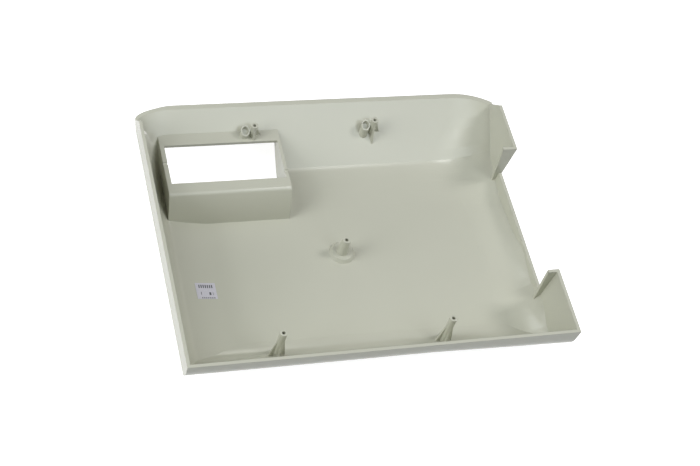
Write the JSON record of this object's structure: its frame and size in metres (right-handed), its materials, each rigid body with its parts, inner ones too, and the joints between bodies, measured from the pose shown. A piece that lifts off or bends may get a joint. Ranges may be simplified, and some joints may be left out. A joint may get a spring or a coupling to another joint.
{
  "type": "injection moulded plastic equipment cover",
  "caption": "Shallow one-piece plastic cover with rolled edges, a window pocket, screw bosses and a stepped, notched side wall; open upward as stored.",
  "frame": {"origin": "middle of the outline, on the flat outer face that the cover lies on", "axes": "+X to the right along the front edge, +Y from the front edge to the sloping rear edge, +Z out of the open side"},
  "size_m": [0.36, 0.29, 0.063],
  "materials": {
    "cover_plastic": "semi-gloss moulded off-white plastic",
    "label_paper": "thin matte paper label"
  },
  "bodies": {
    "root": {"cover_moulding": "cover_plastic", "paper_label": "label_paper"}
  },
  "joints": []
}
